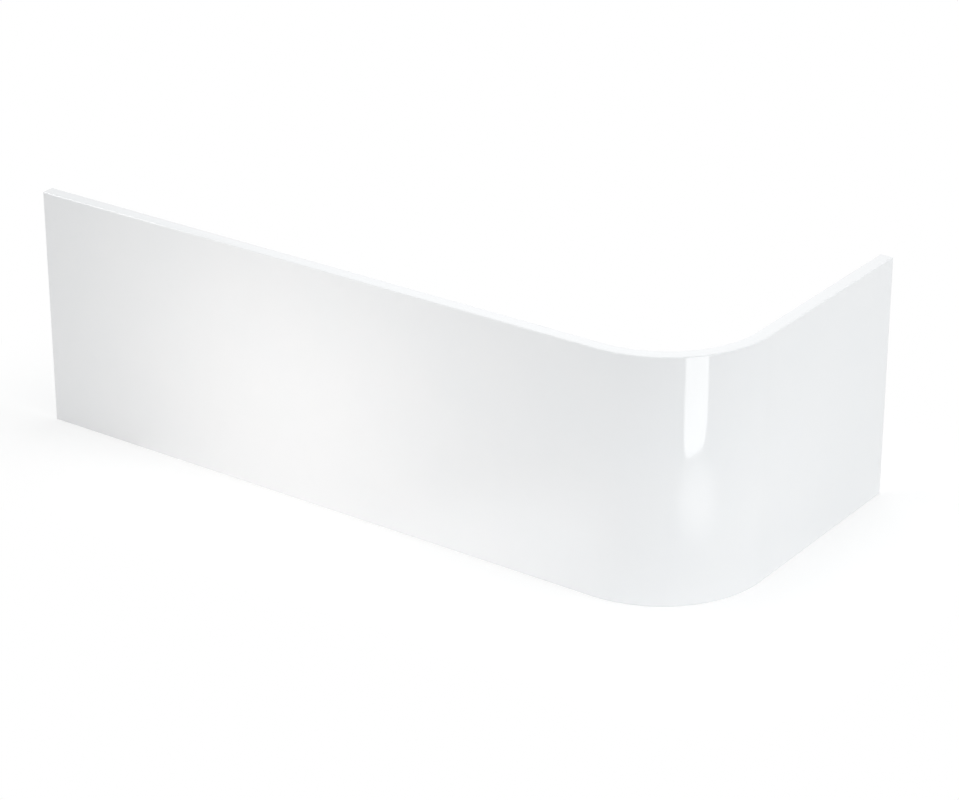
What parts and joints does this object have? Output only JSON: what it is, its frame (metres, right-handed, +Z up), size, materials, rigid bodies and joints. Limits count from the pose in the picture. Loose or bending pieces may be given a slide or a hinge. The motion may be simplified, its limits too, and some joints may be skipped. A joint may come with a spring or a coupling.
{
  "type": "bath panel",
  "caption": "L-plan acrylic bath panel with a long front, a rounded corner, a short return and an inward ledge along the top; it closes the side and end below a bath rim.",
  "frame": {"origin": "on the floor, under the middle of the panel's plan box", "axes": "+X along the long front towards the return, +Y from the front face towards the back wall, +Z up"},
  "size_m": [1.7, 0.75, 0.55],
  "materials": {
    "white_acrylic": "high-gloss polished white acrylic outside, satin moulded back"
  },
  "bodies": {
    "root": {"bath_panel": "white_acrylic"}
  },
  "joints": []
}
